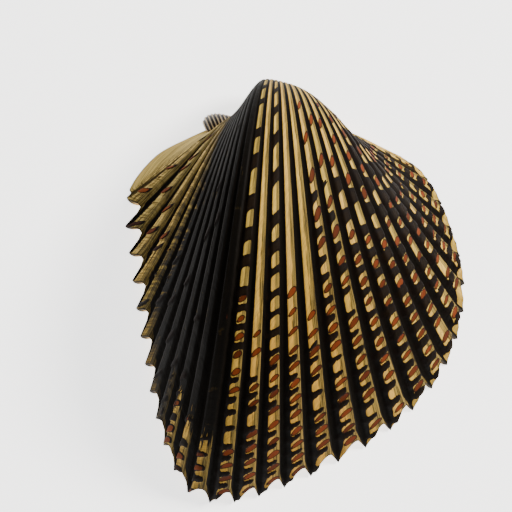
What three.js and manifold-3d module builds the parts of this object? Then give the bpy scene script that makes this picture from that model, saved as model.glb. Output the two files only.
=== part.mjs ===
import * as THREE from 'three';
import { mergeVertices } from 'three/addons/utils/BufferGeometryUtils.js';
import Module from 'manifold-3d';

// The right valve of a cockle with its ligament, lying mouth down. Millimetres, +Z up.
// Until it is centred at the end, the hinge axis is the X axis: the umbo points to +Y,
// the hind end with the ligament to -X and the front end to +X.
//
// A shell grows by adding rim to a small copy of itself, so every growth line here is the
// margin turned about the hinge axis by an angle and shrunk by a power of that angle.

// Driving dimensions: the margin, seen from outside, from the hind to the front hinge end
const marginPoints = [
  [-6.6, 0], [-13.7, -3.1], [-19.2, -6.3], [-23.2, -12.2], [-23.0, -19.5],
  [-22.0, -27.5], [-20.6, -36.5], [-19.0, -45.0], [-16.6, -52.6], [-13.0, -58.2],
  [-6.9, -59.2], [1.0, -56.9], [8.6, -53.4], [15.4, -49.6], [21.9, -44.0],
  [26.8, -36.8], [29.0, -27.5], [27.4, -18.2], [22.9, -8.9], [15.0, -3.9], [6.1, 0],
];
const ribCount = 31;
const ribPitch = 4.3;
const ribHeight = 0.9;
const hindCorner = 21.4; // length of smooth margin from the hind hinge end to the first rib
const crowdedRib = 15; // ribs are a little crowded at the lower end of the umbo's ridge
const crowding = 0.45;
const crowdedSpan = 3.5;
const grooveShare = 0.16; // half of a groove, as a share of the pitch
const ribStart = 0.3; // the first rib rises from the smooth margin within this share of a pitch
const fadingFrontRibs = 4; // the last ribs grow fainter towards the front hinge end
const wall = 2.0; // measured towards the hinge axis, so the shell itself is about 1.5 thick
const hingePlateDepth = 4.0;

// Growth
const shrinkRate = 0.85; // per radian of turn
const widthPower = 0.9; // the valve gets relatively higher as it grows
const coilEnd = 3.0;
const beakTaperStart = 2.3;
const beakTaper = 0.75;
const cavityEnd = 1.9;
const umboThickening = 0.047;

// Toothed edge: how far each rib ends short of the cusps beside it, and where across the rib
const hindNotch = 3.2;
const lowerNotch = 2.0;
const frontNotch = 1.6;
const hindNotchPlace = 0.85;
const lowerNotchPlace = 0.68;
const frontNotchPlace = 0.88;
const [lowerStart, lowerFull] = [6, 10]; // ribs over which the hind teeth turn into lower ones
const [frontStart, frontFull] = [17, 21];

// Hinge: sockets for the other valve's teeth, each from one end's centre to the other's
const socketDepth = 0.9;
const socketEndSteps = 6;
const cardinalSocketWidth = 1.1;
const cardinalSockets = [[[-1.6, -0.9], [-0.9, -2.8]], [[0.9, -0.9], [1.9, -2.8]]];
const lateralSocketWidth = 1.0;
const lateralSockets = [[[-17.2, -6.4], [-12.6, -4.1]], [[12.4, -4.3], [16.8, -6.3]]];

// Ligament
const ligamentLength = 4.6;
const ligamentBulge = 1.8;
const ligamentHeight = 1.7;
const ligamentGap = 0.6;
const ligamentRidges = 9;
const ligamentRidgeHeight = 0.08;
const ligamentTip = 0.2; // its height at both ends, as a share of its full height
const ligamentSkew = 1.5; // the fullest part lies nearer to the hind end
const ligamentBluntness = 0.6;

// Mesh density
const outerRows = 14;
const innerRows = 7;
const rowCrowding = 1.35; // rows lie closer together near the margin
const hindSmoothSteps = 6;
const frontSmoothSteps = 4;
const marginDivisions = 2000;
const ligamentSteps = 36;
const ligamentSectionSteps = 6;

const { smoothstep, lerp } = THREE.MathUtils;

const margin = new THREE.SplineCurve(marginPoints.map(([x, y]) => new THREE.Vector2(x, y)));
margin.arcLengthDivisions = marginDivisions;
const marginLength = margin.getLength();

// A point on the margin and the outward direction there, by length from the hind hinge end
function marginAtLength(length) {
  const share = THREE.MathUtils.clamp(length / marginLength, 0, 1);
  const point = margin.getPointAt(share);
  const tangent = margin.getTangentAt(share);
  return { point, outward: new THREE.Vector2(tangent.y, -tangent.x) };
}

// A place is a rib number with a share of its width: whole numbers are the middles of the
// grooves, counted from the hind corner. This is its length along the margin.
function lengthAt(place) {
  const shift = crowding * Math.exp(-(((place - crowdedRib) / crowdedSpan) ** 2));
  return hindCorner + ribPitch * (place - shift);
}

function marginAt(place) {
  return marginAtLength(lengthAt(place));
}

// Ribs fade out at both ends of the ribbed stretch
function ribStrength(place) {
  const fading = smoothstep(place, ribCount - fadingFrontRibs, ribCount);
  return smoothstep(place, -ribStart, ribStart) * (1 - fading);
}

function ribRelief(place) {
  const across = place - Math.floor(place);
  const toGroove = Math.min(across, 1 - across);
  return ribHeight * (smoothstep(toGroove, 0, grooveShare) - 0.5) * ribStrength(place);
}

// Each rib ends in an arch between two cusps, deepest on its front side
function edgeRetreat(place) {
  const lower = smoothstep(place, lowerStart, lowerFull);
  const front = smoothstep(place, frontStart, frontFull);
  const depth = lerp(lerp(hindNotch, lowerNotch, lower), frontNotch, front);
  const notchPlace = lerp(lerp(hindNotchPlace, lowerNotchPlace, lower), frontNotchPlace, front);
  const across = place - Math.floor(place);
  const rise = lerp(across / notchPlace, Math.sin(across / notchPlace * Math.PI / 2), lower);
  const fall = (1 - across) / (1 - notchPlace);
  return depth * ribStrength(place) * (across < notchPlace ? rise : fall);
}

// Turn about the hinge axis at which the shell ends, so that the edge retreats as told
function edgeTurn(place) {
  const { point } = marginAt(place);
  const reach = Math.hypot(widthPower * point.x, point.y);
  return edgeRetreat(place) / (shrinkRate * reach);
}

function growthScale(turn) {
  const taper = 1 - beakTaper * smoothstep(turn, beakTaperStart, coilEnd);
  return Math.exp(-shrinkRate * turn) * taper;
}

// A margin point carried back along the growth spiral
function grow(x, depth, turn, shrink = 1) {
  const scale = growthScale(turn);
  return [
    shrink * scale ** widthPower * x,
    -shrink * scale * depth * Math.cos(turn),
    shrink * scale * depth * Math.sin(turn),
  ];
}

function outerPoint(place, turn) {
  const { point, outward } = marginAt(place);
  const relief = ribRelief(place);
  return grow(point.x + relief * outward.x, -point.y - relief * outward.y, turn);
}

function innerPoint(place, turn) {
  const { point, outward } = marginAt(place);
  const depth = Math.hypot(-point.y + wall * outward.y, hingePlateDepth);
  return grow(point.x - wall * outward.x, depth, turn, 1 - umboThickening * turn ** 2);
}

// Places along the margin where the columns of points stand: four to each rib
function columnPlaces() {
  const hindEnd = -hindCorner / ribPitch;
  const frontEnd = (marginLength - hindCorner) / ribPitch;
  const places = [];
  for (let i = 0; i < hindSmoothSteps; i++) {
    places.push(lerp(hindEnd, 0, i / hindSmoothSteps));
  }
  for (let rib = 0; rib < ribCount; rib++) {
    places.push(rib, rib + grooveShare, rib + 0.5, rib + 1 - grooveShare);
  }
  for (let i = 0; i <= frontSmoothSteps; i++) {
    places.push(lerp(ribCount, frontEnd, i / frontSmoothSteps));
  }
  return places;
}

// Rows of points from the edge of the shell up to a last turn
function pointGrid(places, rows, lastTurn, pointAt) {
  const grid = [];
  for (let row = 0; row <= rows; row++) {
    const share = (row / rows) ** rowCrowding;
    grid.push(places.map((place) => pointAt(place, lerp(edgeTurn(place), lastTurn, share))));
  }
  return grid;
}

function buildValveShell() {
  const places = columnPlaces();
  const last = places.length - 1;
  const positions = [];
  const faces = [];
  const addPoint = (point) => positions.push(...point) / 3 - 1;
  const addGrid = (grid) => grid.map((row) => row.map(addPoint));
  const addQuad = (a, b, c, d) => faces.push(a, b, c, a, c, d);

  const outer = addGrid(pointGrid(places, outerRows, coilEnd, outerPoint));
  const inner = addGrid(pointGrid(places, innerRows, cavityEnd, innerPoint));
  const pole = addPoint([0, 0, 0]);

  for (let i = 0; i < last; i++) {
    for (let j = 0; j < outerRows; j++) {
      addQuad(outer[j][i], outer[j][i + 1], outer[j + 1][i + 1], outer[j + 1][i]);
    }
    for (let j = 0; j < innerRows; j++) {
      addQuad(inner[j][i], inner[j + 1][i], inner[j + 1][i + 1], inner[j][i + 1]);
    }
    // the cut edge of the shell and the closed end of the beak
    addQuad(outer[0][i], inner[0][i], inner[0][i + 1], outer[0][i + 1]);
    faces.push(pole, outer[outerRows][i], outer[outerRows][i + 1]);
  }

  // the inner end of the cavity, in the umbo
  const end = inner[innerRows];
  for (let i = 1; i < last; i++) {
    faces.push(end[0], end[i + 1], end[i]);
  }

  // the inner face of the hinge plate, then its flat underside
  for (let j = 0; j < innerRows; j++) {
    addQuad(inner[j][0], inner[j][last], inner[j + 1][last], inner[j + 1][0]);
  }
  for (let j = 0; j < outerRows; j++) {
    faces.push(inner[0][0], outer[j][0], outer[j + 1][0]);
    faces.push(inner[0][last], outer[j + 1][last], outer[j][last]);
  }
  faces.push(inner[0][0], outer[outerRows][0], pole);
  faces.push(inner[0][last], pole, outer[outerRows][last]);
  faces.push(inner[0][0], pole, inner[0][last]);
  return toSolid(new Float32Array(positions), new Uint32Array(faces));
}

// A round-ended slot in the underside of the hinge, from one centre to the other
function buildSocket([fromX, fromY], [toX, toY], width) {
  const direction = Math.atan2(toY - fromY, toX - fromX);
  const shape = new THREE.Shape();
  shape.absarc(fromX, fromY, width / 2, direction + Math.PI / 2, direction - Math.PI / 2);
  shape.absarc(toX, toY, width / 2, direction - Math.PI / 2, direction + Math.PI / 2);
  const geometry = new THREE.ExtrudeGeometry(shape, {
    depth: 2 * socketDepth, bevelEnabled: false, curveSegments: socketEndSteps,
  });
  geometry.translate(0, 0, -socketDepth);
  geometry.deleteAttribute('normal');
  geometry.deleteAttribute('uv');
  const merged = mergeVertices(geometry);
  return toSolid(merged.attributes.position.array, new Uint32Array(merged.index.array));
}

// Two cardinal sockets under the umbo and a lateral one at each end of the hinge
function buildSockets() {
  return [
    ...cardinalSockets.map(([from, to]) => buildSocket(from, to, cardinalSocketWidth)),
    ...lateralSockets.map(([from, to]) => buildSocket(from, to, lateralSocketWidth)),
  ];
}

function toSolid(vertProperties, triVerts) {
  return new wasm.Manifold(new wasm.Mesh({ numProp: 3, vertProperties, triVerts }));
}

function toGeometry(solid) {
  const mesh = solid.getMesh();
  const geometry = new THREE.BufferGeometry();
  geometry.setAttribute('position', new THREE.BufferAttribute(mesh.vertProperties, 3));
  geometry.setIndex(new THREE.BufferAttribute(mesh.triVerts, 1));
  geometry.computeVertexNormals();
  return geometry;
}

function buildValve() {
  let solid = buildValveShell();
  for (const socket of buildSockets()) {
    solid = solid.subtract(socket);
  }
  const material = new THREE.MeshStandardMaterial({
    color: 0xc4ac70, roughness: 0.65, metalness: 0,
  });
  const mesh = new THREE.Mesh(toGeometry(solid), material);
  mesh.name = 'valve';
  return mesh;
}

// One outline across the ligament: flat below and towards the valve, round elsewhere
function ligamentSection(share) {
  const { point, outward } = marginAtLength(share * ligamentLength);
  const ridge = ligamentRidgeHeight * Math.sin(share * ligamentRidges * 2 * Math.PI);
  const fullness = Math.sin(share ** ligamentSkew * Math.PI) ** ligamentBluntness;
  const swell = ligamentTip + (1 - ligamentTip) * fullness;
  const section = [];
  const place = (out, height) => section.push([
    point.x + (ligamentGap + out) * outward.x,
    point.y + (ligamentGap + out) * outward.y,
    height,
  ]);
  place(0, 0);
  for (let i = 0; i <= ligamentSectionSteps; i++) {
    const angle = i / ligamentSectionSteps * Math.PI / 2;
    place((ligamentBulge - ligamentGap + ridge) * swell * Math.cos(angle),
      (ligamentHeight + ridge) * swell * Math.sin(angle));
  }
  return section;
}

function buildLigament() {
  const positions = [];
  const faces = [];
  const around = ligamentSectionSteps + 2;
  for (let i = 0; i <= ligamentSteps; i++) {
    positions.push(...ligamentSection(i / ligamentSteps).flat());
  }
  for (let i = 0; i < ligamentSteps; i++) {
    for (let k = 0; k < around; k++) {
      const a = i * around + k;
      const b = i * around + (k + 1) % around;
      faces.push(a, b + around, b, a, a + around, b + around);
    }
  }
  const lastSection = ligamentSteps * around;
  for (let k = 1; k < around - 1; k++) {
    faces.push(0, k, k + 1);
    faces.push(lastSection, lastSection + k + 1, lastSection + k);
  }
  const geometry = new THREE.BufferGeometry();
  geometry.setAttribute('position', new THREE.Float32BufferAttribute(positions, 3));
  geometry.setIndex(faces);
  geometry.computeVertexNormals();
  const material = new THREE.MeshStandardMaterial({
    color: 0x2c1a0f, roughness: 0.5, metalness: 0,
  });
  const mesh = new THREE.Mesh(geometry, material);
  mesh.name = 'ligament';
  return mesh;
}

const wasm = await Module();
wasm.setup();

const cockle = new THREE.Group();
cockle.add(buildValve(), buildLigament());

// Centred over the middle of the surface that it lies on
const box = new THREE.Box3().setFromObject(cockle);
const centre = box.getCenter(new THREE.Vector3());
cockle.position.set(-centre.x, -centre.y, -box.min.z);

export default cockle;
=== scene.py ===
import math

import bpy
import numpy as np
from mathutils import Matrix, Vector


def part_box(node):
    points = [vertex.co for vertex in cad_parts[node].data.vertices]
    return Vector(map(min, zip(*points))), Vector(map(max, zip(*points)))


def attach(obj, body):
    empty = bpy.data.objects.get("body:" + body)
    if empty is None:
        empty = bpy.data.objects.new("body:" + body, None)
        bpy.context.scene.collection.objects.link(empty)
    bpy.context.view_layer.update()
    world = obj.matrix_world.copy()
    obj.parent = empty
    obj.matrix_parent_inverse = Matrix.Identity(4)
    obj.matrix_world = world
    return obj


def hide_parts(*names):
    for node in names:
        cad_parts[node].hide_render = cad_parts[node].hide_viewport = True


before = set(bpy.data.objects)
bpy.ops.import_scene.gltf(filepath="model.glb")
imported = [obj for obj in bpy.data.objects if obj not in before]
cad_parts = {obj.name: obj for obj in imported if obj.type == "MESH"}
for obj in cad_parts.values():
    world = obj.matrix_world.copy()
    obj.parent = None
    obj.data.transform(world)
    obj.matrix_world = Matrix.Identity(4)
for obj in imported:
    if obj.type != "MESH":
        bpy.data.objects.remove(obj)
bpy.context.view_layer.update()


# ---------------------------------------------------------------------------
# Valve: one aragonite shell, grown rim by rim from the umbo. Every growth line is the margin
# turned about the hinge axis and shrunk by a power of that turn. A tree carries a flat grid
# onto that spiral, in millimetres with the hinge axis along X, and then the sockets are cut.

MARGIN_POINTS = [
    (-6.6, 0), (-13.7, -3.1), (-19.2, -6.3), (-23.2, -12.2), (-23.0, -19.5),
    (-22.0, -27.5), (-20.6, -36.5), (-19.0, -45.0), (-16.6, -52.6), (-13.0, -58.2),
    (-6.9, -59.2), (1.0, -56.9), (8.6, -53.4), (15.4, -49.6), (21.9, -44.0),
    (26.8, -36.8), (29.0, -27.5), (27.4, -18.2), (22.9, -8.9), (15.0, -3.9), (6.1, 0),
]
MARGIN_STEPS = 60
RIB_COUNT = 31
COIL_END = 3.0
CAVITY_END = 1.9
HIND_SLOPE_COLUMNS = 44
COLUMNS_PER_RIB = 12
FRONT_COLUMNS = 16
OUTER_ROWS = 190
INNER_ROWS = 26
EDGE_ROWS = 5
TURN_TO_LENGTH = 1.42
MM = 0.001

# the sizes that the tree takes as its named inputs
GROWTH = {
    "Shrink Rate": 0.85,
    "Width Power": 0.9,
    "Beak Taper Start": 2.3,
    "Beak Taper": 0.75,
    "Rib Pitch": 4.3,
    "Rib Height": 0.95,
    "Hind Corner": 21.4,
    "Crowded Rib": 15.0,
    "Crowding": 0.45,
    "Crowded Span": 3.5,
    "Wall": 2.0,
    "Hinge Plate Depth": 4.0,
    "Umbo Thickening": 0.047,
    "Hind Notch": 3.2,
    "Lower Notch": 2.0,
    "Front Notch": 1.6,
    "Stria Height": 0.07,
    "Growth Line Height": 0.06,
    "Scale Height": 0.38,
    "Scale Spacing": 3.4,
}

# A place along the margin is counted in ribs from the hind corner, so whole numbers are the
# middles of grooves. A pair gives where a change along the ribs starts and where it is done.
HIND_FLANK = (8.0, 13.0)
MIDDLE_RIBS = (11.6, 12.0)
FRONT_RIBS = (16.6, 17.2)
FRONT_FLANK = (17.5, 23.0)
BETWEEN_BANDED_RIBS = 13.0
STRIA_PITCH = 0.065

# millimetres up from the toothed edge, over which the front flank's spots come closer together
CROWDED_FRONT = (8.0, 20.0)

# one seed for each thing about the spots that varies
SEEDS = {
    "ring shift": 4,
    "scale place": 11,
    "scale height": 23,
    "scale reach": 31,
    "scale chance": 47,
    "scale tone": 59,
    "fleck place": 67,
    "fleck height": 71,
    "fleck width": 73,
    "fleck chance": 79,
    "fleck tone": 83,
}
NUMBERS_PER_RIB = 97


def margin_line():
    """The margin as a smooth curve through its points, from the hind to the front hinge end."""
    points = [np.array(p, float) for p in MARGIN_POINTS]
    padded = [points[0]] + points + [points[-1]]
    line = []
    for before, start, end, after in zip(padded, padded[1:], padded[2:], padded[3:]):
        leave, arrive = (end - before) / 2, (after - start) / 2
        for step in range(MARGIN_STEPS):
            t = step / MARGIN_STEPS
            line.append(
                (2 * start - 2 * end + leave + arrive) * t**3
                + (-3 * start + 3 * end - 2 * leave - arrive) * t**2
                + leave * t + start
            )
    line.append(points[-1])
    return np.array(line)


def curve_object(name, line):
    """A helper curve through a line of flat points."""
    data = bpy.data.curves.new(name, "CURVE")
    data.dimensions = "3D"
    spline = data.splines.new("POLY")
    spline.points.add(len(line) - 1)
    for point, (x, y) in zip(spline.points, line):
        point.co = (x, y, 0, 1)
    made = bpy.data.objects.new(name, data)
    bpy.context.collection.objects.link(made)
    return made


class Field:
    """A number that varies over a surface, as one socket of a node tree."""

    def __init__(self, tree, socket):
        self.tree, self.socket = tree, socket

    def __add__(self, other):
        return calc("ADD", self, other)

    def __radd__(self, other):
        return calc("ADD", self, other)

    def __sub__(self, other):
        return calc("SUBTRACT", self, other)

    def __rsub__(self, other):
        return calc("SUBTRACT", other, self)

    def __mul__(self, other):
        return calc("MULTIPLY", self, other)

    def __rmul__(self, other):
        return calc("MULTIPLY", self, other)

    def __truediv__(self, other):
        return calc("DIVIDE", self, other)

    def __rtruediv__(self, other):
        return calc("DIVIDE", other, self)

    def __pow__(self, other):
        return calc("POWER", self, other)

    def __neg__(self):
        return calc("MULTIPLY", self, -1.0)


def plug(tree, value, socket):
    """Sets a socket to a number or joins a field to it."""
    if isinstance(value, Field):
        tree.links.new(value.socket, socket)
    else:
        socket.default_value = value


def calc(operation, *values, clamp=False):
    """A math node over fields and numbers."""
    tree = next(v.tree for v in values if isinstance(v, Field))
    node = tree.nodes.new("ShaderNodeMath")
    node.operation = operation
    node.use_clamp = clamp
    for value, socket in zip(values, node.inputs):
        plug(tree, value, socket)
    return Field(tree, node.outputs[0])


def smooth(field, start, end):
    """0 before start, 1 past end, with a soft step between."""
    node = field.tree.nodes.new("ShaderNodeMapRange")
    node.interpolation_type = "SMOOTHSTEP"
    plug(field.tree, field, node.inputs["Value"])
    plug(field.tree, start, node.inputs["From Min"])
    plug(field.tree, end, node.inputs["From Max"])
    return Field(field.tree, node.outputs["Result"])


def blend(start, end, share):
    """Start where the share is 0 and end where it is 1."""
    return start + (end - start) * share


def components(tree, vector_socket):
    """The three parts of a vector."""
    node = tree.nodes.new("ShaderNodeSeparateXYZ")
    tree.links.new(vector_socket, node.inputs[0])
    return [Field(tree, output) for output in node.outputs]


def combined(tree, x, y, z):
    """A vector's socket, made from three parts."""
    node = tree.nodes.new("ShaderNodeCombineXYZ")
    for value, socket in zip((x, y, z), node.inputs):
        plug(tree, value, socket)
    return node.outputs[0]


def random_share(tree, number, seed):
    """A repeatable random number from 0 to 1 for each whole number."""
    node = tree.nodes.new("FunctionNodeRandomValue")
    node.data_type = "FLOAT"
    plug(tree, number, node.inputs["ID"])
    node.inputs["Seed"].default_value = seed
    return Field(tree, node.outputs[1])


def start_tree(name, sizes):
    """An empty Geometry Nodes tree with a geometry in and out and named sizes."""
    tree = bpy.data.node_groups.new(name, "GeometryNodeTree")
    tree.interface.new_socket("Geometry", in_out="INPUT", socket_type="NodeSocketGeometry")
    tree.interface.new_socket("Geometry", in_out="OUTPUT", socket_type="NodeSocketGeometry")
    tree.interface.new_socket("Margin", in_out="INPUT", socket_type="NodeSocketObject")
    for size_name in sizes:
        tree.interface.new_socket(size_name, in_out="INPUT", socket_type="NodeSocketFloat")
    entry = tree.nodes.new("NodeGroupInput")
    fields = {size_name: Field(tree, entry.outputs[size_name]) for size_name in sizes}
    return tree, entry, fields


def margin_sample(tree, entry, length):
    """The margin's point and outward direction at a length from its hind end."""
    fetch = tree.nodes.new("GeometryNodeObjectInfo")
    tree.links.new(entry.outputs["Margin"], fetch.inputs["Object"])
    sample = tree.nodes.new("GeometryNodeSampleCurve")
    sample.mode = "LENGTH"
    sample.use_all_curves = True
    tree.links.new(fetch.outputs["Geometry"], sample.inputs["Curves"])
    tree.links.new(length.socket, sample.inputs["Length"])
    x, y, _ = components(tree, sample.outputs["Position"])
    along_x, along_y, _ = components(tree, sample.outputs["Tangent"])
    return x, y, along_y, -along_x


def store(tree, geometry, name, vector_socket):
    """Keeps a vector on every point, for the material to read."""
    node = tree.nodes.new("GeometryNodeStoreNamedAttribute")
    node.data_type = "FLOAT_VECTOR"
    node.domain = "POINT"
    node.inputs["Name"].default_value = name
    tree.links.new(geometry, node.inputs["Geometry"])
    socket = next(s for s in node.inputs if s.name == "Value" and s.enabled)
    tree.links.new(vector_socket, socket)
    return node.outputs["Geometry"]


def finish_tree(tree, geometry, position, material):
    """Moves every point, sets the material and ends the tree."""
    move = tree.nodes.new("GeometryNodeSetPosition")
    tree.links.new(geometry, move.inputs["Geometry"])
    tree.links.new(position, move.inputs["Position"])
    shade = tree.nodes.new("GeometryNodeSetShadeSmooth")
    tree.links.new(move.outputs["Geometry"], shade.inputs["Geometry"])
    real = tree.nodes.new("GeometryNodeRealizeInstances")
    tree.links.new(shade.outputs["Geometry"], real.inputs["Geometry"])
    coat = tree.nodes.new("GeometryNodeSetMaterial")
    tree.links.new(real.outputs["Geometry"], coat.inputs["Geometry"])
    coat.inputs["Material"].default_value = material
    leave = tree.nodes.new("NodeGroupOutput")
    tree.links.new(coat.outputs["Geometry"], leave.inputs["Geometry"])


def rib_strength(place):
    """1 where the shell is ribbed, fading to 0 past the first and the last rib."""
    return smooth(place, -0.3, 0.3) * (1 - smooth(place, RIB_COUNT - 4, RIB_COUNT))


def edge_retreat(place, across, relief, size):
    """How far each rib ends short of the cusps beside it, deepest on its front side."""
    lower = smooth(place, 6, 10)
    front = smooth(place, 17, 21)
    depth = blend(blend(size["Hind Notch"], size["Lower Notch"], lower), size["Front Notch"], front)
    notch = blend(blend(0.84, 0.68, lower), 0.86, front)
    climb = across / notch
    straight = blend(climb, smooth(climb, 0, 1), 0.6)
    arched = calc("SINE", climb * (math.pi / 2))
    rise = blend(straight, arched, lower)
    fall = calc("SINE", calc("MINIMUM", (1 - across) / (1 - notch), 1.0) * (math.pi / 2))
    before_notch = calc("LESS_THAN", across, notch)
    arch = depth * rib_strength(place) * blend(fall, rise, before_notch)
    return arch + calc("MAXIMUM", relief, 0.0) * 0.9


def rib_relief(place, across, size):
    """Flat-topped ribs with narrow grooves between them, finely lined lengthwise."""
    to_groove = calc("MINIMUM", across, 1 - across)
    top = smooth(to_groove, 0.11, 0.22) - 0.5
    dome = calc("SINE", across * math.pi) * 0.10
    striae = calc("COSINE", to_groove * (2 * math.pi / STRIA_PITCH)) * size["Stria Height"]
    in_groove = 1 - smooth(to_groove, 0.09, 0.2)
    return (size["Rib Height"] * (top + dome) + striae * in_groove) * rib_strength(place)


def nearest_spot(tree, place, along, growth, size, offset, wandering, kind):
    """How far up the rib a point is from the middle of the nearest spot, and the spot's number.

    Spots sit in rings that follow the growth lines, wider apart on the front ribs and near the
    umbo. The offset is the part of that spacing by which this kind stands above the scales.
    """
    rib = calc("FLOOR", place)
    spacing = size["Scale Spacing"] * blend(0.82, 1.0, smooth(rib, 15.5, 19.5))
    spacing = spacing * blend(1.25, 1.0, smooth(growth, 0.15, 0.6))
    shift = 0.45 + 0.3 * random_share(tree, rib, SEEDS["ring shift"])
    ring = calc("ROUND", along / spacing - shift - offset)
    number = rib * NUMBERS_PER_RIB + ring
    wander = (random_share(tree, number, SEEDS[kind + " place"]) - 0.5) * wandering
    return along - (ring + shift + offset + wander) * spacing, number


def ring_slant(place, growth):
    """How many millimetres a ring climbs from the middle of a rib's back to its front side."""
    hind_side = 1 - smooth(place, *HIND_FLANK)
    slant = blend(-0.2, 0.95, hind_side) - 0.13 * calc("MAXIMUM", place - 18, 0.0)
    return slant * smooth(growth, 0.05, 0.3)


def fleck_distance(tree, place, across, along, share, growth, size):
    """Signed distance in millimetres to the nearest rust fleck, and the fleck's tone.

    A fleck is a slanted oval of pigment halfway between two scales, on the front ribs and
    the lower half of the middle ribs.
    """
    local, number = nearest_spot(tree, place, along, growth, size, 0.5, 0.16, "fleck")
    local = local - (ring_slant(place, growth) + 0.2) * (across - 0.5) / 0.3
    half_height = blend(0.50, 0.70, random_share(tree, number, SEEDS["fleck height"]))
    half_height = half_height * blend(0.8, 1.0, growth)
    half_width = blend(0.25, 0.34, random_share(tree, number, SEEDS["fleck width"]))
    oval = calc("SQRT", (local / half_height) ** 2.0 + ((across - 0.49) / half_width) ** 2.0)
    front = smooth(place, *FRONT_RIBS)
    middle = smooth(place, *MIDDLE_RIBS) * (1 - front) * (1 - smooth(share, 0.38, 0.48))
    chance = 0.9 * front * smooth(growth, 0.16, 0.24) + 0.85 * middle
    chance = chance * (1 - smooth(place, 29.0, 30.5))
    present = calc("LESS_THAN", random_share(tree, number, SEEDS["fleck chance"]), chance)
    distance = blend(1.0, (oval - 1) * half_height, present)
    return distance, random_share(tree, number, SEEDS["fleck tone"])


def scale_chance(place, share, growth, banded):
    """How likely a scale is: nearly sure in front, only low down in the middle, rare behind."""
    front = smooth(place, *FRONT_RIBS)
    front_start = blend(0.34, 0.18, smooth(place, 20.0, 24.0))
    front_chance = front * 0.9 * smooth(growth, front_start, front_start + 0.1)
    lower = 1 - smooth(share, 0.26, 0.40)
    middle = smooth(place, *MIDDLE_RIBS) * (1 - front)
    middle_chance = middle * calc("MAXIMUM", lower * 0.8, banded * 0.95)
    hind_corner = (1 - smooth(place, 3, 7)) * (1 - smooth(share, 0.14, 0.34))
    beaded = calc("COMPARE", calc("FLOOR", place), 1.0, 0.4) * smooth(share, 0.32, 0.4) * 0.85
    low_flank = smooth(place, 8.1, 8.6) * (1 - smooth(share, 0.13, 0.17)) * 0.85
    hind_chance = 0.1 + 0.5 * hind_corner + beaded + low_flank
    hind_chance = (1 - smooth(place, *MIDDLE_RIBS)) * hind_chance
    chance = front_chance + middle_chance + hind_chance
    return chance * smooth(place, 0.0, 0.4) * (1 - smooth(place, 30.0, 31.5))


def scale_distance(tree, place, across, along, share, growth, size):
    """Signed distance in millimetres to the nearest raised scale, its tone, and its rise: 0 at
    its upper end and 1 at its lower end.

    A scale hangs from the groove behind it and thins out across the rib's back. On the two
    banded ribs the scales reach right across near the umbo, as black bands.
    """
    local, number = nearest_spot(tree, place, along, growth, size, 0.0, 0.28, "scale")
    side = (across - 0.5) / 0.3
    local = local - ring_slant(place, growth) * side
    rib = calc("FLOOR", place)
    banded = calc("COMPARE", rib, BETWEEN_BANDED_RIBS, 1.2)
    banded = banded * (1 - calc("COMPARE", rib, BETWEEN_BANDED_RIBS, 0.4))
    hind_side = 1 - smooth(place, *HIND_FLANK)
    front_side = smooth(place, *FRONT_FLANK)
    crowded_front = front_side * smooth(along, *CROWDED_FRONT)

    # half a scale's height: less near the umbo, but not on the banded ribs, and more away from
    # it on the hind ribs and in front
    thinning = 1 - blend(0.2, 0.05, banded) * side
    half_height = 0.60 * thinning
    half_height = half_height * blend(0.8, 1.2, random_share(tree, number, SEEDS["scale height"]))
    half_height = half_height * blend(0.9, 1.0, smooth(growth, 0.1, 0.6))
    half_height = half_height * (1 + 0.2 * banded * (1 - smooth(growth, 0.4, 0.7)))
    half_height = half_height * (1 + 0.8 * hind_side * smooth(growth, 0.3, 0.8))
    half_height = half_height * (0.78 + 0.37 * front_side + 0.35 * crowded_front)
    to_end = calc("ABSOLUTE", local) - half_height
    rise = calc("ADD", local / half_height * -0.5, 0.5, clamp=True)

    reach = blend(0.27, 0.33, random_share(tree, number, SEEDS["scale reach"]))
    reach = reach + 0.22 * banded * (1 - smooth(growth, 0.6, 0.72)) + 0.1 * crowded_front
    centre = blend(0.35, 0.42, front_side)
    to_side = (calc("ABSOLUTE", across - centre) - reach) * size["Rib Pitch"] * growth
    distance = calc("SMOOTH_MAX", to_end, to_side, 0.7 * growth)

    chance = scale_chance(place, share, growth, banded)
    present = calc("LESS_THAN", random_share(tree, number, SEEDS["scale chance"]), chance)
    tone = random_share(tree, number, SEEDS["scale tone"])
    return blend(1.0, distance, present), tone, rise


def spiral(place, share, side, x, y, retreat, size):
    """Each row's scale and turn about the hinge axis, from the toothed edge to the beak, and its
    growth, which is the scale with the beak's taper."""
    rate = size["Shrink Rate"]
    speed = rate * calc("SQRT", (size["Width Power"] * x) ** 2.0 + y * y) + 0.001
    rounding = 0.3 * (1 - calc("SINE", side * math.pi)) * smooth(place, -4.9, -4.0)
    start_scale = calc("EXPONENT", -(rate * ((retreat + rounding) / speed)))
    end_scale = calc("EXPONENT", -(rate * blend(COIL_END, CAVITY_END, side)))
    scale = blend(start_scale, end_scale, share)
    turn = -(calc("LOGARITHM", scale, math.e) / rate)
    taper = 1 - size["Beak Taper"] * smooth(turn, size["Beak Taper Start"], COIL_END)
    return scale, turn, scale * taper


def growth_lines(tree, place, share):
    """Fine lines across the ribs, as a height from about -1 to 1."""
    waver = tree.nodes.new("ShaderNodeTexNoise")
    waver.noise_dimensions = "2D"
    waver.inputs["Scale"].default_value = 1.0
    waver.inputs["Detail"].default_value = 3.0
    tree.links.new(combined(tree, share * 75, place * 0.15, 0.0), waver.inputs["Vector"])
    return (Field(tree, waver.outputs[0]) - 0.5) * 2


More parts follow.
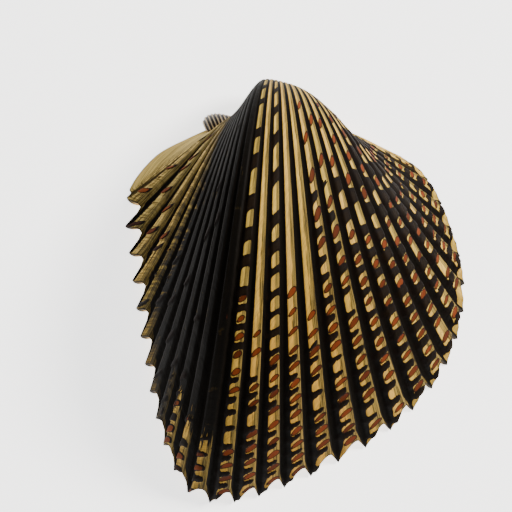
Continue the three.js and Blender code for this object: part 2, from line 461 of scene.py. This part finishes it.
def inner_face(x, y, out_x, out_y, relief, share, turn, size):
    """The smooth inside, where the ribs show only as a crimped border and the hinge plate closes
    the umbo."""
    crimp = relief * 0.55 * (1 - smooth(share, 0.0, 0.16))
    thickness = size["Wall"] - crimp
    thickened = 1 - size["Umbo Thickening"] * turn * turn
    depth = calc("SQRT", (thickness * out_y - y) ** 2.0 + size["Hinge Plate Depth"] ** 2.0)
    return (x - thickness * out_x) * thickened, depth * thickened


def valve_tree(material):
    """Carries the flat grid onto the growth spiral and stores what the colours follow."""
    tree, entry, size = start_tree("grow valve", GROWTH)
    position = tree.nodes.new("GeometryNodeInputPosition").outputs[0]
    place, share, side = components(tree, position)
    at_pole = calc("GREATER_THAN", side, 1.5)
    side = calc("MINIMUM", side, 1.0)

    crowd = calc("EXPONENT", -(((place - size["Crowded Rib"]) / size["Crowded Span"]) ** 2.0))
    length = size["Hind Corner"] + size["Rib Pitch"] * (place - size["Crowding"] * crowd)
    x, y, out_x, out_y = margin_sample(tree, entry, length)
    across = calc("FRACT", place)

    relief = rib_relief(place, across, size)
    retreat = edge_retreat(place, across, relief, size)
    scale, turn, growth = spiral(place, share, side, x, y, retreat, size)

    # millimetres up from the toothed edge, and the spots, whose rings are partly counted from
    # the margin itself where the edge has no long teeth
    length_per_scale = calc("SQRT", x * x + y * y) * TURN_TO_LENGTH
    along = share * length_per_scale
    from_margin = (1 - scale) * length_per_scale
    ringed = blend(along, from_margin, 0.65 * smooth(place, *HIND_FLANK))
    scale_near, tone, rise = scale_distance(tree, place, across, ringed, share, growth, size)
    fleck_near, fleck_tone = fleck_distance(tree, place, across, ringed, share, growth, size)

    # the outer face: ribs, growth lines and scales, with the grooves filled at the very lip
    at_lip = 1 - smooth(share, 0.0, 0.03)
    relief = relief + calc("MINIMUM", relief, 0.0) * -0.85 * at_lip
    scale_bump = blend(0.35, 1.0, rise) * (1 - smooth(scale_near, -0.22, 0.06))
    fine = growth_lines(tree, place, share) * size["Growth Line Height"]
    fine = (fine + size["Scale Height"] * scale_bump) * rib_strength(place)
    outer_x = x + (relief + fine) * out_x
    outer_depth = -(y + (relief + fine) * out_y)

    inner_x, inner_depth = inner_face(x, y, out_x, out_y, relief, share, turn, size)
    flat_x = blend(outer_x, inner_x, side)
    depth = blend(outer_depth, inner_depth, side)
    width_scale = growth ** size["Width Power"]
    free = (1 - at_pole) * MM
    place_socket = combined(
        tree,
        width_scale * flat_x * free,
        -(growth * depth * calc("COSINE", turn)) * free,
        growth * depth * calc("SINE", turn) * free,
    )
    geometry = entry.outputs["Geometry"]
    geometry = store(tree, geometry, "pattern", combined(tree, place, along, growth))
    geometry = store(tree, geometry, "scales", combined(tree, scale_near, tone, side))
    geometry = store(tree, geometry, "flecks", combined(tree, fleck_near, fleck_tone, 0.0))
    finish_tree(tree, geometry, place_socket, material)
    return tree


def column_places(margin_length):
    """Places along the margin for the grid's columns, denser over the ribs."""
    pitch = GROWTH["Rib Pitch"]
    first = -GROWTH["Hind Corner"] / pitch
    last = (margin_length - GROWTH["Hind Corner"]) / pitch
    hind = first * np.linspace(1, 0, HIND_SLOPE_COLUMNS, endpoint=False) ** 1.3
    ribs = np.arange(RIB_COUNT * COLUMNS_PER_RIB) / COLUMNS_PER_RIB
    front = np.linspace(RIB_COUNT, last, FRONT_COLUMNS)
    return np.concatenate([hind, ribs, front])


def flat_valve(places):
    """The valve's closed surface laid flat: X is the place, Y the share of growth and Z the
    side, 0 outside and 1 inside."""
    points = []
    faces = []
    last = len(places) - 1

    def add_row(share, side):
        start = len(points)
        points.extend((place, share, side) for place in places)
        return range(start, len(points))

    def add_strip(lower, upper, flip=False):
        for i in range(last):
            face = (lower[i], lower[i + 1], upper[i + 1], upper[i])
            faces.append(face[::-1] if flip else face)

    outer = [add_row(row / OUTER_ROWS, 0) for row in range(OUTER_ROWS + 1)]
    inner = [add_row((row / INNER_ROWS) ** 1.5, 1) for row in range(INNER_ROWS + 1)]
    edge = [outer[0]] + [add_row(0, row / EDGE_ROWS) for row in range(1, EDGE_ROWS)] + [inner[0]]
    for lower, upper in zip(outer, outer[1:]):
        add_strip(lower, upper)
    for lower, upper in zip(inner, inner[1:]):
        add_strip(lower, upper, flip=True)
    for lower, upper in zip(edge, edge[1:]):
        add_strip(lower, upper, flip=True)

    # the closed beak, the end of the cavity and the hinge plate
    pole = len(points)
    points.append((0, 1, 2))
    beak, cavity = outer[-1], inner[-1]
    for i in range(last):
        faces.append((pole, beak[i], beak[i + 1]))
    faces.extend((cavity[0], cavity[i + 1], cavity[i]) for i in range(1, last))
    for lower, upper in zip(inner, inner[1:]):
        faces.append((lower[0], lower[last], upper[last], upper[0]))
    hind, front = inner[0][0], inner[0][last]
    for lower, upper in zip(outer, outer[1:]):
        faces.append((hind, lower[0], upper[0]))
        faces.append((front, upper[last], lower[last]))
    hind_edge = [row[0] for row in edge]
    front_edge = [row[last] for row in edge]
    for a, b in zip(hind_edge[1:], hind_edge[2:]):
        faces.append((hind_edge[0], b, a))
    for a, b in zip(front_edge[1:], front_edge[2:]):
        faces.append((front_edge[0], a, b))
    faces.append((hind, beak[0], pole))
    faces.append((front, pole, beak[last]))
    faces.append((hind, pole, front))
    return points, faces


def mesh_object(name, points, faces):
    """A mesh in the scene, made from its points and faces."""
    data = bpy.data.meshes.new(name)
    data.from_pydata(points, [], faces)
    made = bpy.data.objects.new(name, data)
    bpy.context.collection.objects.link(made)
    return made


def grown(flat, tree, margin, sizes):
    """Runs a tree on a flat grid and keeps the result as a plain mesh."""
    modifier = flat.modifiers.new("growth", "NODES")
    modifier.node_group = tree
    values = dict(sizes, Margin=margin)
    for socket in tree.interface.items_tree:
        if socket.name in values:
            modifier[socket.identifier] = values[socket.name]
    evaluated = flat.evaluated_get(bpy.context.evaluated_depsgraph_get())
    mesh = bpy.data.meshes.new_from_object(evaluated)
    flat.modifiers.remove(modifier)
    flat.data = mesh
    return flat


# sockets for the other valve's teeth, each from one end's centre to the other's and its width,
# in millimetres from the hinge axis: two under the umbo and one at each end of the hinge
SOCKETS = [
    ((-1.6, -0.9), (-0.9, -2.8), 1.1),
    ((0.9, -0.9), (1.9, -2.8), 1.1),
    ((-17.2, -6.4), (-12.6, -4.1), 1.0),
    ((12.4, -4.3), (16.8, -6.3), 1.0),
]
SOCKET_DEPTH = 0.9
SOCKET_END_STEPS = 8

# what the walls of a socket tell the material: a place off the ribs, 4 mm from the edge, full
# growth, and then no scale near, no tone and the inner side
SOCKET_PATTERN = (-1.0, 4.0, 1.0)
SOCKET_SPOTS = (1.0, 0.0, 1.0)

# faces that point this far down are the flat that the valve rests on, and are shaded flat
FLAT_DOWN = -0.999


def socket_cutters():
    """Round-ended slots that stand through the flat of the hinge, to be cut out of it."""
    points = []
    faces = []
    for start, end, width in SOCKETS:
        start, end = np.array(start), np.array(end)
        heading = math.atan2(end[1] - start[1], end[0] - start[0])
        outline = []
        for centre, quarter in ((end, -math.pi / 2), (start, math.pi / 2)):
            for step in range(SOCKET_END_STEPS + 1):
                angle = heading + quarter + math.pi * step / SOCKET_END_STEPS
                outline.append(centre + width / 2 * np.array([math.cos(angle), math.sin(angle)]))
        first = len(points)
        count = len(outline)
        for level in (-SOCKET_DEPTH, SOCKET_DEPTH):
            points.extend((x * MM, y * MM, level * MM) for x, y in outline)
        faces.append(tuple(range(first, first + count))[::-1])
        faces.append(tuple(range(first + count, first + 2 * count)))
        for k in range(count):
            after = first + (k + 1) % count
            faces.append((first + k, after, after + count, first + k + count))
    return points, faces


def cut_sockets(valve):
    """Cuts the hinge sockets, lined like the inside of the valve."""
    cutters = mesh_object("sockets", *socket_cutters())
    cutters.data.materials.append(valve.data.materials[0])
    for name, value in (("scales", SOCKET_SPOTS), ("pattern", SOCKET_PATTERN)):
        stored = cutters.data.attributes.new(name, "FLOAT_VECTOR", "POINT")
        stored.data.foreach_set("vector", np.tile(value, len(cutters.data.vertices)))
    cut = valve.modifiers.new("sockets", "BOOLEAN")
    cut.operation = "DIFFERENCE"
    cut.solver = "MANIFOLD"
    cut.object = cutters
    evaluated = valve.evaluated_get(bpy.context.evaluated_depsgraph_get())
    mesh = bpy.data.meshes.new_from_object(evaluated)
    for face in mesh.polygons:
        if face.normal.z < FLAT_DOWN and face.center.z < SOCKET_DEPTH / 2 * MM:
            face.use_smooth = False
    valve.modifiers.remove(cut)
    valve.data = mesh
    bpy.data.objects.remove(cutters)
    return valve


def plain_material(name):
    """A new material with its tree and its surface shader."""
    material = bpy.data.materials.new(name)
    material.use_nodes = True
    tree = material.node_tree
    return material, tree, tree.nodes["Principled BSDF"]


def attribute(tree, name):
    """The three parts of a vector that was stored on the mesh."""
    node = tree.nodes.new("ShaderNodeAttribute")
    node.attribute_name = name
    return components(tree, node.outputs["Vector"])


def noise(tree, vector, scale, detail=2.0):
    """Cloudy noise from 0 to 1 over a vector."""
    node = tree.nodes.new("ShaderNodeTexNoise")
    node.inputs["Scale"].default_value = scale
    node.inputs["Detail"].default_value = detail
    tree.links.new(vector, node.inputs["Vector"])
    return Field(tree, node.outputs[0])


def paint(tree, under, over, share):
    """One colour laid over another, as thickly as the share says."""
    node = tree.nodes.new("ShaderNodeMix")
    node.data_type = "RGBA"
    plug(tree, share, node.inputs[0])
    for value, socket in ((under, node.inputs[6]), (over, node.inputs[7])):
        if isinstance(value, tuple):
            socket.default_value = (*value, 1)
        else:
            tree.links.new(value, socket)
    return node.outputs[2]


def add_bump(tree, surface, height, strength, distance):
    """The finest grain, as a bump on the surface, with its distance in metres."""
    bump = tree.nodes.new("ShaderNodeBump")
    bump.inputs["Strength"].default_value = strength
    bump.inputs["Distance"].default_value = distance
    tree.links.new(height.socket, bump.inputs["Height"])
    tree.links.new(bump.outputs["Normal"], surface.inputs["Normal"])


# base colours, as linear red, green and blue
SHELL_COLOURS = {
    "tan": (0.43, 0.26, 0.042),
    "pale tan": (0.58, 0.37, 0.068),
    "pinker tan": (0.57, 0.33, 0.072),
    "greener tan": (0.36, 0.25, 0.042),
    # paler behind: partly the shell's own colour, partly painted light on the shaded hind slope
    "hind cream": (0.74, 0.55, 0.18),
    "ochre": (0.46, 0.225, 0.025),
    "faint ring": (0.20, 0.12, 0.02),
    "growth line": (0.06, 0.035, 0.007),
    "olive side shade": (0.13, 0.100, 0.030),
    "rib line": (0.035, 0.024, 0.007),
    # painted shade, laid over the hind flank
    "hind shade": (0.002, 0.0015, 0.001),
    # painted shade of the creases on the hind slope
    "crease": (0.030, 0.018, 0.005),
    # painted shade for the grooves and for the corners beside the scales
    "groove": (0.003, 0.002, 0.001),
    "groove line": (0.06, 0.036, 0.009),
    "dark fleck": (0.060, 0.010, 0.002),
    "fleck": (0.118, 0.021, 0.004),
    "fleck rim": (0.012, 0.003, 0.001),
    "dark rust": (0.055, 0.011, 0.003),
    "rust": (0.180, 0.039, 0.007),
    "bright rust": (0.27, 0.070, 0.013),
    "burnt rust": (0.006, 0.003, 0.001),
    # black, standing partly for the shadows of the raised scales
    "black scale": (0.005, 0.003, 0.001),
    # dark rims, partly painted shadow, and the scales under the painted hind shade
    "scale rim": (0.004, 0.002, 0.001),
    "lip": (0.015, 0.009, 0.003),
    "lining": (0.80, 0.70, 0.50),
    "lining border": (0.62, 0.40, 0.14),
    "lining cloud": (0.70, 0.55, 0.30),
}
SHELL_ROUGHNESS = 0.62


class ShellPattern:
    """What the shell's colours follow: the vectors stored on the mesh and a few kinds of noise."""

    def __init__(self, tree):
        self.tree = tree
        self.place, self.along, self.growth = attribute(tree, "pattern")
        self.near, self.tone, self.side = attribute(tree, "scales")
        self.fleck_near, self.fleck_tone, _ = attribute(tree, "flecks")
        objects = tree.nodes.new("ShaderNodeTexCoord").outputs["Object"]
        self.cloud = noise(tree, objects, 90.0, 3.0)
        self.grain = noise(tree, objects, 900.0, 3.0)
        self.streak = self.lines(self.place * 9, self.along * 0.25, 0.0, 3.0)
        self.ring = self.lines(self.along * 1.15, self.place * 0.12, 0.0, 4.0)
        self.across = calc("FRACT", self.place)
        self.to_groove = calc("MINIMUM", self.across, 1 - self.across)
        after_ribs = smooth(self.place, RIB_COUNT - 2.5, RIB_COUNT)
        self.ribbed = smooth(self.place, -0.2, 0.2) * (1 - after_ribs)
        self.front_side = smooth(self.place, *FRONT_FLANK)

    def lines(self, quick, slow, start, detail):
        """Noise drawn out into lines: it changes fast one way and slowly the other."""
        return noise(self.tree, combined(self.tree, quick, slow, start), 1.0, detail)

    def paint(self, under, over, share):
        """Lays one colour over another, where each is a name or a socket."""
        under = SHELL_COLOURS[under] if isinstance(under, str) else under
        over = SHELL_COLOURS[over] if isinstance(over, str) else over
        return paint(self.tree, under, over, share)


def paint_rib_backs(shell):
    """Tan, ochre towards the lower middle and cream behind, each rib a little pinker or
    greener than the next."""
    place, cloud = shell.place, shell.cloud
    colour = shell.paint("tan", "pale tan", smooth(cloud, 0.35, 0.65))
    chance = shell.tree.nodes.new("ShaderNodeTexWhiteNoise")
    chance.noise_dimensions = "1D"
    plug(shell.tree, calc("FLOOR", place), chance.inputs["W"])
    own_tint = Field(shell.tree, chance.outputs["Value"]) + (cloud - 0.5) * 0.8
    colour = shell.paint(colour, "pinker tan", smooth(own_tint, 0.55, 0.9) * 0.5)
    colour = shell.paint(colour, "greener tan", (1 - smooth(own_tint, 0.1, 0.45)) * 0.6)
    # cream behind: partly the shell's paler colour, partly painted light that lifts the shaded hind
    # slope
    colour = shell.paint(colour, "hind cream", (1 - smooth(place, 1.0, 5.0)) * 0.6)
    warm = calc("EXPONENT", -(((place - 15.5) / 4.5) ** 2.0)) * (1 - smooth(shell.along, 22, 46))
    return shell.paint(colour, "ochre", warm * 0.75)


def paint_fine_lines(shell, colour):
    """Growth lines, strongest on the hind ribs, lengthwise lines down the ribs' sides, and painted
    shade down their front sides.
    """
    behind = 1 - smooth(shell.place, 8, 14)
    colour = shell.paint(colour, "faint ring", (1 - smooth(shell.ring, 0.33, 0.5)) * 0.35)
    growth_line = 1 - smooth(calc("ABSOLUTE", shell.ring - 0.5), 0.0, 0.045)
    colour = shell.paint(colour, "growth line", growth_line * blend(0.25, 0.85, behind))
    hatch = shell.lines(shell.place * 17, shell.along * 0.07, 7.0, 1.0)
    # painted shade: an olive wash down the front side of each rib, under darker lines
    rib_side_shade = smooth(shell.across + (shell.streak - 0.5) * 0.5, 0.46, 0.56)
    colour = shell.paint(colour, "olive side shade", rib_side_shade * 0.75 * shell.ribbed)
    rib_line = 1 - smooth(calc("ABSOLUTE", hatch - 0.5), 0.04, 0.09)
    hind_lines = behind * smooth(shell.streak, 0.38, 0.55)
    rib_line = rib_line * calc("MAXIMUM", rib_side_shade, hind_lines)
    colour = shell.paint(colour, "rib line", rib_line * 0.9 * shell.ribbed)
    vein = 1 - smooth(calc("ABSOLUTE", shell.streak - 0.5), 0.0, 0.04)
    return shell.paint(colour, "faint ring", vein * 0.5 * shell.ribbed)


def hind_shade(shell):
    """Where painted shade makes the hind flank nearly black: ragged at both ends and down its hind
    side.
    """
    place, along, growth = shell.place, shell.along, shell.growth
    start = blend(0.3, 2.8, smooth(growth, 0.2, 0.5))
    start = start + (shell.ring - 0.5) * 5 * smooth(growth, 0.3, 0.6)
    shaded = smooth(place, start, start + 2.8) * (1 - smooth(place, 11.85, 12.0))
    shaded = shaded * smooth(along + place * 1.6 - 11, -7, 6)
    ragged = along + (shell.streak - 0.5) * 22
    shaded = shaded * blend(1.0, smooth(ragged, 9.0, 12.0), smooth(place, 8.3, 9.6))
    paler = smooth(shell.lines(place * 1.6, along * 0.5, 3.0, 2.0), 0.62, 0.72)
    return shaded * blend(1.0, 0.93, paler)


def paint_creases(shell, colour):
    """Painted shade of creases on the smooth hind slope, which spread from its corner, with one
    short deep one and a seam along the first rib."""
    place, along = shell.place, shell.along
    spread = calc("MAXIMUM", -place, 0.0) / (along + 0.5)
    wave = calc("FRACT", spread * 48 + shell.cloud * 0.5)
    crease = 1 - smooth(calc("ABSOLUTE", wave - 0.5), 0.10, 0.28)
    crease = crease * smooth(spread, 0.0, 0.006) * (1 - smooth(spread, 0.07, 0.11))
    crease = crease * (1 - smooth(along, 14, 25)) * smooth(along, 0.5, 3)
    deep = 1 - smooth(calc("ABSOLUTE", spread - 0.115), 0.004, 0.012)
    deep = deep * smooth(along, 12, 15) * (1 - smooth(along, 21, 24))
    seam = 1 - smooth(calc("ABSOLUTE", place + 0.06), 0.03, 0.10)
    crease = calc("MAXIMUM", calc("MAXIMUM", crease, deep), seam * 0.9)
    return shell.paint(colour, "crease", crease * 0.95)


def paint_flecks(shell, colour):
    """Rust flecks, paler in the middle and dark brown round their edges."""
    rough_edge = shell.fleck_near + (shell.grain - 0.5) * 0.14
    pigment = shell.paint("dark fleck", "fleck", smooth(shell.fleck_tone, 0.1, 0.9))
    pigment = shell.paint(pigment, "fleck rim", smooth(rough_edge, -0.22, -0.07))
    return shell.paint(colour, pigment, (1 - smooth(rough_edge, -0.03, 0.03)) * 0.98)


def paint_grooves(shell, colour):
    """Grooves, nearly black at their walls and lined lengthwise. Also gives where a wall ends
    on the rib's back, and where the groove's floor is."""
    to_groove, ribbed = shell.to_groove, shell.ribbed
    run_out = smooth(shell.along - shell.front_side, 0.0, 2.4)
    hind_groove = 1 - smooth(shell.place, 2.5, 5.5)
    crowded_front = shell.front_side * smooth(shell.along, *CROWDED_FRONT)
    wall_end = blend(0.235, 0.285, crowded_front) - 0.075 * hind_groove
    wall_end = wall_end * blend(0.3, 1.0, run_out)
    wall = smooth(to_groove, 0.05, 0.11)
    wall = wall * (1 - smooth(to_groove, wall_end - 0.02, wall_end + 0.02))
    floor = (1 - smooth(to_groove, 0.09, 0.15)) * run_out * (1 - 0.3 * hind_groove) * ribbed
    lined = smooth(calc("COSINE", to_groove * (2 * math.pi / STRIA_PITCH)), -0.1, 0.6)
    # painted shade: the groove floors and walls are darkened nearly to black
    colour = shell.paint(colour, "groove", floor)
    colour = shell.paint(colour, "groove line", floor * lined * 0.07)
    colour = shell.paint(colour, "groove", wall * ribbed)
    return colour, wall_end, floor


def scale_colour(shell, shaded):
    """Rust scales on the hind ribs, and black ones on the painted hind shade and on the other ribs,
    where the black stands partly for the scales' shadows.
    """
    rust = shell.paint("dark rust", "rust", smooth(shell.tone, 0.1, 0.8))
    rust = shell.paint(rust, "bright rust", smooth(shell.grain, 0.52, 0.7) * 0.5)
    rust = shell.paint(rust, "burnt rust", (1 - smooth(shell.tone, 0.22, 0.30)) * 0.98)
    rust = shell.paint(rust, "black scale", smooth(shell.place, 11.0, 12.0) * 0.99)
    return shell.paint(rust, "scale rim", shaded * 0.99)


def paint_scales(shell, colour, wall_end, shaded):
    """The raised scales with their black rims, partly painted shadow, and painted shade in the
    corners where they meet the groove walls."""
    rough_edge = shell.near + (shell.grain - 0.5) * 0.16
    to_wall = (shell.to_groove - wall_end) * GROWTH["Rib Pitch"] * shell.growth
    # painted shade in the corners where the scales meet the groove walls
    corner = calc("SMOOTH_MIN", to_wall, rough_edge, 1.1 * shell.growth)
    colour = shell.paint(colour, "groove", (1 - smooth(corner, -0.03, 0.03)) * shell.ribbed)
    scale_here = (1 - smooth(rough_edge, -0.03, 0.03)) * shell.ribbed
    colour = shell.paint(colour, scale_colour(shell, shaded), scale_here)
    rim_start = blend(-0.32, -0.50, shell.front_side)
    rim = smooth(rough_edge, rim_start, rim_start + 0.13) * shell.ribbed
    return shell.paint(colour, "scale rim", rim * (1 - smooth(rough_edge, 0.02, 0.06)))


def paint_lining(shell, colour):
    """The inside: pale and smooth, browner towards the crimped border."""
    lining = shell.paint("lining", "lining border", 1 - smooth(shell.along, 1.5, 7))
    lining = shell.paint(lining, "lining cloud", smooth(shell.cloud, 0.45, 0.7) * 0.5)
    return shell.paint(colour, lining, smooth(shell.side, 0.3, 0.7))


def shell_material():
    """A tan shell with rust flecks, and painted shade in its grooves, on and round its scales and
    over its hind flank.
    """
    material, tree, surface = plain_material("shell")
    shell = ShellPattern(tree)
    shaded = hind_shade(shell)
    colour = paint_rib_backs(shell)
    colour = paint_fine_lines(shell, colour)
    # painted shade: the hind flank darkened nearly to black
    colour = shell.paint(colour, "hind shade", shaded * 0.996)
    colour = paint_creases(shell, colour)
    colour = paint_flecks(shell, colour)
    colour, wall_end, floor = paint_grooves(shell, colour)
    colour = paint_scales(shell, colour, wall_end, shaded)
    colour = shell.paint(colour, "lip", (1 - smooth(shell.along, 0.12, 0.34)) * 0.85)
    colour = paint_lining(shell, colour)
    tree.links.new(colour, surface.inputs["Base Color"])
    rough = SHELL_ROUGHNESS + (shell.cloud - 0.5) * 0.3 + floor * 0.2
    tree.links.new(rough.socket, surface.inputs["Roughness"])
    surface.inputs["Specular IOR Level"].default_value = 0.05
    height = shell.ring * 0.8 + shell.streak * 0.5 + shell.grain * 0.5
    add_bump(tree, surface, height, 0.5, 0.0002)
    return material


def mesh_points(piece):
    """The places of a mesh's points, one row each."""
    points = np.empty(len(piece.data.vertices) * 3)
    piece.data.vertices.foreach_get("co", points)
    return points.reshape(-1, 3)


def move_points(piece, offset):
    """Moves a piece by its mesh, so that its object stays at the origin."""
    piece.data.vertices.foreach_set("co", (mesh_points(piece) + np.array(offset)).ravel())
    piece.data.update()


line = margin_line()
margin_length = float(np.hypot(*np.diff(line, axis=0).T).sum())
margin = curve_object("margin", line)
flat_points, flat_faces = flat_valve(column_places(margin_length))
valve = mesh_object("valve_shell", flat_points, flat_faces)
valve = grown(valve, valve_tree(shell_material()), margin, GROWTH)
valve = cut_sockets(valve)

# the hinge axis goes where it puts the valve over the CAD valve
valve_low, valve_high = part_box("valve")
grown_points = mesh_points(valve)
grown_middle = Vector((grown_points.min(0) + grown_points.max(0)) / 2)
pole = (valve_low + valve_high) / 2 - grown_middle
pole.z = 0
move_points(valve, pole)
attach(valve, "root")
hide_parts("valve")


# ---------------------------------------------------------------------------
# Ligament: the dark horny band behind the umbo that springs the two valves apart. It is
# a short half-barrel of elastic tissue, grown onto the hinge plate in cross ridges.

LIGAMENT = {
    "Ligament Length": 4.7,
    "Bulge": 1.9,
    "Height": 1.9,
    "Ridges": 8.5,
    "Ridge Height": 0.05,
    "Overlap": 0.4,
}
LIGAMENT_STEPS = 120
LIGAMENT_AROUND = 28
LIGAMENT_WIDEST = 0.72
LIGAMENT_BLUNTNESS = 0.72
HORN = (0.018, 0.008, 0.004)
PALE_CREST = (0.58, 0.44, 0.26)


def ligament_tree(material):
    """Carries a flat strip onto the margin: X along the hinge, Y round the outside, with one
    more row of points, at Y 2, for the face that is grown onto the hinge plate."""
    tree, entry, size = start_tree("grow ligament", LIGAMENT)
    position = tree.nodes.new("GeometryNodeInputPosition").outputs[0]
    along, around, _ = components(tree, position)
    x, y, out_x, out_y = margin_sample(tree, entry, along * size["Ligament Length"])
    ridge = calc("SINE", along * size["Ridges"] * 2 * math.pi)
    past_widest = (along - LIGAMENT_WIDEST) / (1 - LIGAMENT_WIDEST)
    tapered = calc("SINE", calc("MINIMUM", along / LIGAMENT_WIDEST, 1.0) * (math.pi / 2))
    blunt = calc("SQRT", calc("MAXIMUM", 1 - past_widest ** 2.0 * LIGAMENT_BLUNTNESS, 0.0))
    swell = 0.1 + 0.9 * blend(tapered, blunt, calc("GREATER_THAN", along, LIGAMENT_WIDEST))
    angle = around * (math.pi / 2)
    radius = swell + ridge * size["Ridge Height"] * smooth(swell, 0.2, 0.7)
    out = radius * size["Bulge"] * calc("COSINE", angle)
    up = radius * size["Height"] * calc("SINE", angle)
    inside = calc("GREATER_THAN", around, 1.5)
    out = blend(out, 0.0, inside) - size["Overlap"] * around
    up = blend(up, 0.0, inside)
    place = combined(tree, (x + out * out_x) * MM, (y + out * out_y) * MM, up * MM)
    pattern = combined(tree, ridge, along, around)
    geometry = store(tree, entry.outputs["Geometry"], "pattern", pattern)
    finish_tree(tree, geometry, place, material)
    return tree


def flat_ligament():
    """A closed strip laid flat, with its ends capped."""
    points = []
    faces = []
    around = LIGAMENT_AROUND + 2
    for step in range(LIGAMENT_STEPS + 1):
        along = step / LIGAMENT_STEPS
        points.extend((along, k / LIGAMENT_AROUND, 0) for k in range(LIGAMENT_AROUND + 1))
        points.append((along, 2, 0))
    for step in range(LIGAMENT_STEPS):
        for k in range(around):
            a = step * around + k
            b = step * around + (k + 1) % around
            faces.append((a, a + around, b + around, b))
    faces.append(tuple(range(around)))
    faces.append(tuple(range(LIGAMENT_STEPS * around, len(points)))[::-1])
    return points, faces


def ligament_material():
    """Dark brown horn with paler crests on its ridges."""
    material, tree, surface = plain_material("ligament")
    ridge = attribute(tree, "pattern")[0]
    objects = tree.nodes.new("ShaderNodeTexCoord").outputs["Object"]
    speckle = noise(tree, objects, 1400.0)
    crest = smooth(ridge + (speckle - 0.5) * 0.7, 0.35, 0.75)
    tree.links.new(paint(tree, HORN, PALE_CREST, crest), surface.inputs["Base Color"])
    rough = 0.36 + speckle * 0.2
    tree.links.new(rough.socket, surface.inputs["Roughness"])
    add_bump(tree, surface, speckle, 0.4, 0.0001)
    return material


ligament = mesh_object("ligament_band", *flat_ligament())
ligament = grown(ligament, ligament_tree(ligament_material()), margin, LIGAMENT)
move_points(ligament, pole)
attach(ligament, "root")
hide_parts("ligament")
bpy.data.objects.remove(margin)


# ---------------------------------------------------------------------------
# Stage: a pale floor, a soft light from the upper front side and a weaker one opposite,
# and a camera that looks straight down on the valve as it lies on its margin.

FRAME_WIDTH = 0.0782
LENS = 240
SENSOR = 36
CAMERA_SHIFT = (-0.0032, -0.0211)
FLOOR_WIDTH = 4.0


def area_light(name, place, size, power, colour):
    """A round soft light that faces the valve."""
    data = bpy.data.lights.new(name, "AREA")
    data.shape = "DISK"
    data.size = size
    data.energy = power
    data.color = colour
    lamp = bpy.data.objects.new(name, data)
    lamp.location = place
    lamp.rotation_euler = (-Vector(place)).to_track_quat("-Z", "Y").to_euler()
    bpy.context.collection.objects.link(lamp)


def plain_floor():
    """A wide pale floor, a little luminous so that it stays even."""
    half = FLOOR_WIDTH / 2
    corners = [(-half, -half, 0), (half, -half, 0), (half, half, 0), (-half, half, 0)]
    floor = mesh_object("floor", corners, [(0, 1, 2, 3)])
    material, _, surface = plain_material("floor")
    surface.inputs["Base Color"].default_value = (0.93, 0.92, 0.90, 1)
    surface.inputs["Roughness"].default_value = 0.9
    surface.inputs["Emission Color"].default_value = (1, 1, 1, 1)
    surface.inputs["Emission Strength"].default_value = 2.2
    floor.data.materials.append(material)


plain_floor()
area_light("key", (0.50, 0.26, 0.40), 0.20, 11.5, (1.0, 0.97, 0.93))
area_light("fill", (-0.45, -0.25, 0.5), 0.6, 0.4, (0.93, 0.96, 1.0))

world = bpy.data.worlds.new("studio")
world.use_nodes = True
background = world.node_tree.nodes["Background"]
background.inputs["Color"].default_value = (1, 1, 1, 1)
background.inputs["Strength"].default_value = 0.38
bpy.context.scene.world = world

camera_data = bpy.data.cameras.new("camera")
camera_data.lens = LENS
camera_data.sensor_width = SENSOR
camera_data.clip_start = 0.01
camera = bpy.data.objects.new("camera", camera_data)
distance = FRAME_WIDTH * LENS / SENSOR
camera.location = (pole.x + CAMERA_SHIFT[0], pole.y + CAMERA_SHIFT[1], distance)
bpy.context.collection.objects.link(camera)
bpy.context.scene.camera = camera
